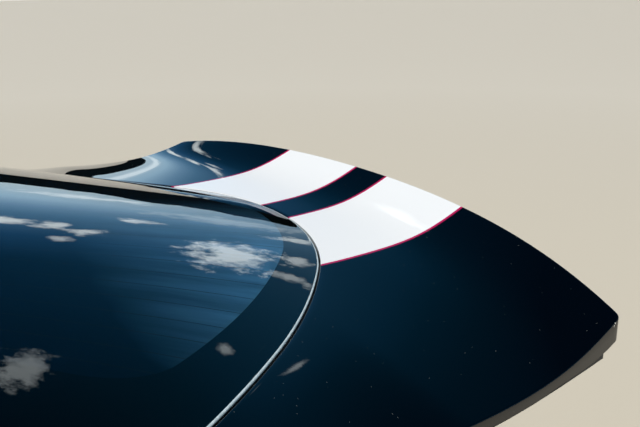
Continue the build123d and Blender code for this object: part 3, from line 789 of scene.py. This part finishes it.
def privacy_film_painted_inside():
    """Painted light and shade of the car's inside: a blue that goes from nearly black to its full colour
    along the car and across it. Painted shadows of the heater's lines fan out as the lines do: they are
    noise of x over the way to the lines' meeting point."""
    film, shader, place = new_material("privacy_film_painted_inside", Roughness=0.6, Specular_IOR_Level=0.0)
    axes = axes_of(place)
    drift = swing(noise(stretched(place, DRIFT_SCALE), 1.0), DRIFT_RUN)
    along = map_range(maths("ADD", axes["Y"], drift), FILM_SHADE_Y, FILM_LIGHT_Y)
    beside = map_range(axes["X"], FILM_SHADE_X, FILM_LIGHT_X)
    fan = maths("DIVIDE", axes["X"], maths("SUBTRACT", FAN_Y, axes["Y"]))
    fanned = add_node("CombineXYZ", ("X", fan), ("Y", axes["Y"])).outputs["Vector"]
    line_shadows = swing(noise(stretched(fanned, LINE_SHADOW_SCALE), 1.0, 4.0), LINE_SHADOW_SWING)
    share = maths("MULTIPLY", maths("MULTIPLY", along, beside), maths("ADD", line_shadows, 1.0))
    plug(mix(share, FILM_PAINTED_SHADE, FILM_PAINTED_LIGHT), shader.inputs["Base Color"])
    see_through(FILM_COVER, shader, FILM_SEEN)
    return film


def ground_edge_and_highlight():
    """The rim is ground, not polished: pale green, half frosted, with small chips of brighter glass. Its
    pale colour is partly a painted highlight, the bright line that the rounded edge mirrors.
    """
    edge, shader, place = new_material(
        "ground_glass_edge_and_highlight", Roughness=0.28, IOR=GLASS_IOR, Specular_IOR_Level=0.8
    )
    # The pale colour is partly real frosted glass and partly a painted highlight of the rounded edge.
    pale_edge_and_highlight = ramp(noise(place, EDGE_SCALE, 4.0), (0.35, (0.42, 0.52, 0.54)), (0.7, (0.68, 0.78, 0.80)))
    plug(pale_edge_and_highlight, shader.inputs["Base Color"])
    bump(shader, noise(place, FROST_SCALE, 2.0), FROST_DEPTH)
    return edge


def printed(name, roughness, cloudy, dark, light):
    """A dull print without a mirror of its own: two near tones, mixed by a noise (scale, detail)."""
    tone, shader, place = new_material(name, Roughness=roughness, Specular_IOR_Level=0.0)
    plug(ramp(noise(place, *cloudy), dark, light), shader.inputs["Base Color"])
    return tone


GLASS, EDGE_AND_HIGHLIGHT, FILM = tinted_glass(), ground_edge_and_highlight(), privacy_film_painted_inside()
ENAMEL = printed(
    "fired_enamel", 0.5, (420.0, 2.0), (0.35, (0.0004, 0.0006, 0.0008)), (0.7, (0.0010, 0.0014, 0.0017))
)
PRINT = printed("heater_print", 0.6, (90.0,), (0.3, (0.006, 0.005, 0.006)), (0.7, (0.013, 0.010, 0.010)))
print("window:", *(made.name for made in (GLASS, EDGE_AND_HIGHLIGHT, FILM, ENAMEL, PRINT)))

# %% [markdown]
# ## Mouldings, coated steel, plating and rubber
# The hidden parts share a few finishes. Each is a base colour with a slow mottle, a roughness that
# varies with it, and a fine relief: what differs is the scale and the depth.

# %% A maker for the plain finishes
FINISHES = {
    # name: dark and light colour, roughness low and high, metal, relief scale, relief depth in metres
    "moulded_composite": ((0.020, 0.020, 0.021), (0.034, 0.034, 0.036), 0.48, 0.66, 0.0, 240.0, 0.00010),
    "grained_plastic": ((0.022, 0.022, 0.023), (0.030, 0.030, 0.031), 0.55, 0.68, 0.0, 900.0, 0.00012),
    "plain_black_plastic": ((0.014, 0.014, 0.015), (0.021, 0.021, 0.022), 0.42, 0.55, 0.0, 500.0, 0.00003),
    "coated_steel": ((0.012, 0.012, 0.013), (0.024, 0.024, 0.025), 0.30, 0.44, 0.0, 700.0, 0.00003),
    "zinc_plate": ((0.50, 0.47, 0.40), (0.68, 0.66, 0.60), 0.24, 0.40, 1.0, 600.0, 0.00001),
    "strut_enamel": ((0.010, 0.010, 0.011), (0.017, 0.017, 0.018), 0.20, 0.30, 0.0, 350.0, 0.00001),
    "hard_chrome": ((0.62, 0.62, 0.63), (0.70, 0.70, 0.71), 0.05, 0.12, 1.0, 1200.0, 0.000002),
    "moulded_rubber": ((0.012, 0.012, 0.012), (0.021, 0.020, 0.020), 0.62, 0.80, 0.0, 800.0, 0.00004),
}


def plain_finish(name):
    """Colour and roughness follow one slow noise, and the relief follows a finer one."""
    dark, light, smooth, rough, metal, scale, depth = FINISHES[name]
    material, shader, place = new_material(name, Metallic=metal)
    slow = noise(place, scale / 12, 4.0)
    plug(ramp(slow, (0.3, dark), (0.7, light)), shader.inputs["Base Color"])
    plug(map_range(slow, 0.0, 1.0, smooth, rough), shader.inputs["Roughness"])
    bump(shader, noise(place, scale, 2.0), depth)
    return material


MADE = {name: plain_finish(name) for name in FINISHES}
print("finishes:", ", ".join(MADE))

# %% [markdown]
# Each remaining solid keeps its shape. Its facets are welded, flat regions are joined, and its
# edges get a small bevel, since no moulding or pressing has a knife edge. Modifiers do this without
# changing the mesh itself.

# %% Finish the solids
WELD_GAP, FLAT_ANGLE, BEVEL_ANGLE, NORMAL_WEIGHT = 0.00001, math.radians(0.4), math.radians(30), 80
NODE_FINISH = {
    "glass_bond": ("moulded_rubber", 0), "inner_frame": ("moulded_composite", 0.0006),
    "window_ledge": ("moulded_composite", 0.0006), "latch_striker": ("zinc_plate", 0.0003),
    "tail_trim": ("grained_plastic", 0.0005), "pull_cup": ("grained_plastic", 0.001),
    "tail_closeout": ("plain_black_plastic", 0.0005),
}
SIDE_FINISH = {
    "hinge_base": ("coated_steel", 0.0006), "hinge_pin": ("zinc_plate", 0.0004),
    "hinge_arm": ("coated_steel", 0.0010), "strut_tube": ("strut_enamel", 0.0004),
    "strut_rod": ("hard_chrome", 0.0003),
    "strut_body_stud": ("zinc_plate", 0), "strut_hatch_stud": ("zinc_plate", 0),
    "strut_body_bracket": ("coated_steel", 0.0006), "strut_hatch_bracket": ("coated_steel", 0.0006),
    "bumper": ("moulded_rubber", 0.0005), "guide_wedge": ("plain_black_plastic", 0.0008),
}
for side in ("right", "left"):
    NODE_FINISH |= {f"{node}_{side}": finish for node, finish in SIDE_FINISH.items()}


def finish_node(name, finish, bevel):
    """Weld, join flat regions, bevel the sharp edges and weight the normals by area."""
    solid = NODES[name]
    solid.data.materials.clear()
    solid.data.materials.append(MADE[finish])
    solid.data.shade_smooth()
    solid.modifiers.new("weld", "WELD").merge_threshold = WELD_GAP
    flat = solid.modifiers.new("flat", "DECIMATE")
    flat.decimate_type = "DISSOLVE"
    flat.angle_limit = FLAT_ANGLE
    if bevel:
        soft = solid.modifiers.new("soft", "BEVEL")
        soft.width = bevel
        soft.segments = 2
        soft.angle_limit = BEVEL_ANGLE
    solid.modifiers.new("normals", "WEIGHTED_NORMAL").weight = NORMAL_WEIGHT


for name, (finish, bevel) in NODE_FINISH.items():
    finish_node(name, finish, bevel)
DRESSED = (
    (panel, PAINT), (window, GLASS), (window, EDGE_AND_HIGHLIGHT), (band, ENAMEL), (heater, PRINT), (film, FILM),
    (screws, MADE["zinc_plate"]), (clips, MADE["plain_black_plastic"]),
)
for piece, material in DRESSED:
    piece.data.materials.append(material)
edge_faces = np.arange(len(window.data.polygons)) >= 2 * (PATCH_ACROSS - 1) * (PATCH_ALONG - 1)
window.data.polygons.foreach_set("material_index", edge_faces.astype(np.int32))
print("finished", len(NODE_FINISH), "solids")

# %% [markdown]
# ## Floor and light
# A plain pale floor lies where the ground would be under the car; it grows paler away from the car,
# which is painted light. A high sun and one large soft panel light the piece. The world is a sky for
# reflections only, bright near the horizon and dark overhead, as dark paint needs it to look deep. An
# environment picture would do the same, but two colour ramps, a few ragged ellipses and a line of
# treetops can be read and changed.

# %% Floor, lamps and world
FLOOR_Z, FLOOR_HALF = -1.08, 60.0
# The far colour is painted light: the floor grows paler away from the car.
FLOOR_COLOUR, FLOOR_MOTTLE, FLOOR_FAR_LIT = (0.57, 0.51, 0.405), (0.52, 0.46, 0.37), (0.67, 0.615, 0.52)
FLOOR_NEAR, FLOOR_AWAY, MOTTLE_SCALE, MOTTLE_SHARE = 2.0, 9.0, 0.6, 0.25
PLAIN_BACKGROUND = (0.74, 0.71, 0.65)
SKY_BRIGHT_SIDE = [
    # sine of the elevation, colour
    (0.00, (0.80, 0.95, 1.00)), (0.10, (0.85, 1.15, 1.35)), (0.153, (0.72, 1.15, 1.50)),
    (0.194, (0.37, 0.72, 1.10)), (0.226, (0.20, 0.50, 0.84)), (0.300, (0.037, 0.19, 0.43)),
    (0.360, (0.010, 0.090, 0.20)), (0.550, (0.003, 0.050, 0.11)), (0.720, (0.001, 0.018, 0.038)),
    (1.000, (0.001, 0.010, 0.02)),
]
SKY_DEEP_SIDE = [
    (0.00, (0.55, 0.75, 0.85)), (0.10, (0.40, 0.62, 0.80)), (0.210, (0.14, 0.33, 0.54)),
    (0.310, (0.038, 0.163, 0.31)), (0.345, (0.027, 0.155, 0.30)), (0.434, (0.009, 0.105, 0.215)),
    (0.480, (0.003, 0.076, 0.150)), (0.550, (0.002, 0.052, 0.100)), (0.720, (0.001, 0.014, 0.030)),
    (1.000, (0.001, 0.010, 0.02)),
]
BRIGHT_AZIMUTH, DEEP_AZIMUTH = math.radians(-18), math.radians(-45)
CLOUDS = (
    # azimuth, elevation, half width and half height in degrees, and share
    (-37.2, 16.6, 5.3, 2.3, 0.95), (-44.5, 17.6, 3.2, 0.5, 0.5), (-43.4, 15.4, 2.2, 0.7, 0.6),
    (-40.5, 11.8, 2.8, 0.7, 0.6), (-20.0, 15.2, 1.9, 0.9, 0.75), (-23.0, 15.9, 2.4, 0.7, 0.75),
    (-21.6, 17.6, 1.3, 0.5, 0.6), (-16.3, 14.9, 2.6, 0.9, 0.8), (-26.2, 12.4, 2.3, 0.6, 0.75),
    (-20.5, 6.6, 6.0, 0.9, 0.4), (-33.0, 9.4, 8.5, 1.4, 0.22), (-45.3, 24.85, 1.2, 0.55, 0.5),
    (-27.8, 32.2, 3.2, 1.8, 0.5), (-14.0, 22.0, 4.0, 1.0, 0.8),
)
CLOUD_COLOUR, CLOUD_EDGE, CLOUD_HEART = (2.5, 2.75, 2.8), 0.95, 0.35
CLOUD_RAGGED, CLOUD_STRETCH, CLOUD_NOISE = 3.0, (1.0, 1.0, 3.0), (26.0, 10.0, 0.68)
TREE_COLOUR, TREE_SHARE, TREE_RAGGED, TREE_NOISE = (0.001, 0.003, 0.003), 0.996, 0.05, (9.0, 4.0)
TREE_LINE = math.radians(-16), math.radians(-37), 0.068, 0.130  # two azimuths, sines of elevation
# place, direction, strength or watts, colour
SUN, SUN_SPREAD = ((0, 0, 0), (0.35, -0.25, -0.90), 3.2, (1.0, 0.975, 0.94)), math.radians(12)
SKY_PANEL, SKY_PANEL_SIZE = ((0.6, -1.0, 4.6), (-0.6, 0.3, -4.6), 70, (0.92, 0.96, 1.0)), 3.0


def make_floor():
    """A square of two close tones that grows paler with distance, as painted light on the far floor, and
    can't be seen from below.
    """
    corners = [(x * FLOOR_HALF, y * FLOOR_HALF, FLOOR_Z) for x, y in ((-1, -1), (1, -1), (1, 1), (-1, 1))]
    mesh = bpy.data.meshes.new("floor")
    mesh.from_pydata(corners, [], [(0, 1, 2, 3)])
    floor = bpy.data.objects.new("floor", mesh)
    bpy.context.scene.collection.objects.link(floor)
    plain, shader, place = new_material("pale_floor", Roughness=0.9, Specular_IOR_Level=0.1)
    mottle = maths("MULTIPLY", noise(place, MOTTLE_SCALE, 4.0), MOTTLE_SHARE)
    away = add_node("VectorMath", (0, place), operation="LENGTH").outputs["Value"]
    far_lit = map_range(away, FLOOR_NEAR, FLOOR_AWAY)
    plug(mix(far_lit, mix(mottle, FLOOR_COLOUR, FLOOR_MOTTLE), FLOOR_FAR_LIT), shader.inputs["Base Color"])
    below = add_node("NewGeometry", tree=shader.id_data).outputs["Backfacing"]
    see_through(maths("SUBTRACT", 1.0, below), shader)
    mesh.materials.append(plain)


def make_lamp(name, kind, place, ahead, energy, colour):
    """A lamp that shines from a place along a direction, and doesn't show through the glass."""
    lamp = bpy.data.lights.new(name, kind)
    lamp.energy, lamp.color = energy, colour
    holder = bpy.data.objects.new(name, lamp)
    holder.matrix_world = facing(place, unit(np.array(ahead)))
    holder.visible_transmission = False
    bpy.context.scene.collection.objects.link(holder)
    return holder


def cloud_mask(azimuth, elevation, ragged, cloud):
    """1 in the heart of a ragged ellipse, falling softly to 0 at its edge: the distance from its middle
    is taken each way over its half size, plus noise."""
    middle_azimuth, middle_elevation, half_width, half_height = (math.radians(v) for v in cloud)
    across = maths("DIVIDE", maths("SUBTRACT", azimuth, middle_azimuth), half_width)
    up = maths("DIVIDE", maths("SUBTRACT", elevation, middle_elevation), half_height)
    distance = maths("SQRT", maths("ADD", maths("POWER", across, 2), maths("POWER", up, 2)))
    return map_range(maths("ADD", distance, ragged), CLOUD_EDGE, CLOUD_HEART)


def make_world():
    """The sky by elevation, brighter towards one side, with trees at the horizon and a few clouds. It
    shows in reflections only: what the camera sees directly, or through glass, is plain and pale."""
    world = bpy.data.worlds.new("sky")
    bpy.context.scene.world = world
    world.use_nodes = True
    tree = world.node_tree
    ahead = add_node("TexCoord", tree=tree).outputs["Generated"]
    axes = axes_of(ahead)
    elevation, azimuth = maths("ARCSINE", axes["Z"]), maths("ARCTAN2", axes["Y"], axes["X"])
    side = map_range(azimuth, DEEP_AZIMUTH, BRIGHT_AZIMUTH)
    sky = mix(side, ramp(axes["Z"], *SKY_DEEP_SIDE), ramp(axes["Z"], *SKY_BRIGHT_SIDE))
    ragged = swing(noise(stretched(ahead, CLOUD_STRETCH), *CLOUD_NOISE), CLOUD_RAGGED)
    for *cloud, most in CLOUDS:
        inside = cloud_mask(azimuth, elevation, ragged, cloud)
        sky = mix(maths("MULTIPLY", inside, most), sky, CLOUD_COLOUR)
    height = map_range(azimuth, *TREE_LINE)
    treetops = maths("ADD", height, swing(noise(ahead, *TREE_NOISE), TREE_RAGGED))
    trees = maths("MULTIPLY", maths("LESS_THAN", axes["Z"], treetops), TREE_SHARE)
    path = add_node("LightPath", tree=tree).outputs
    plain = maths("MAXIMUM", path["Is Camera Ray"], path["Is Transmission Ray"])
    seen = mix(plain, mix(trees, sky, TREE_COLOUR), PLAIN_BACKGROUND)
    plug(seen, tree.nodes["Background"].inputs["Color"])


make_floor()
make_world()
make_lamp("high_sun", "SUN", *SUN).data.angle = SUN_SPREAD
sky_panel = make_lamp("sky_panel", "AREA", *SKY_PANEL)
sky_panel.data.size, sky_panel.visible_glossy = SKY_PANEL_SIZE, False
bpy.context.scene.view_settings.view_transform = "Standard"
print("floor at", FLOOR_Z, "with", len(CLOUDS), "clouds in the sky")
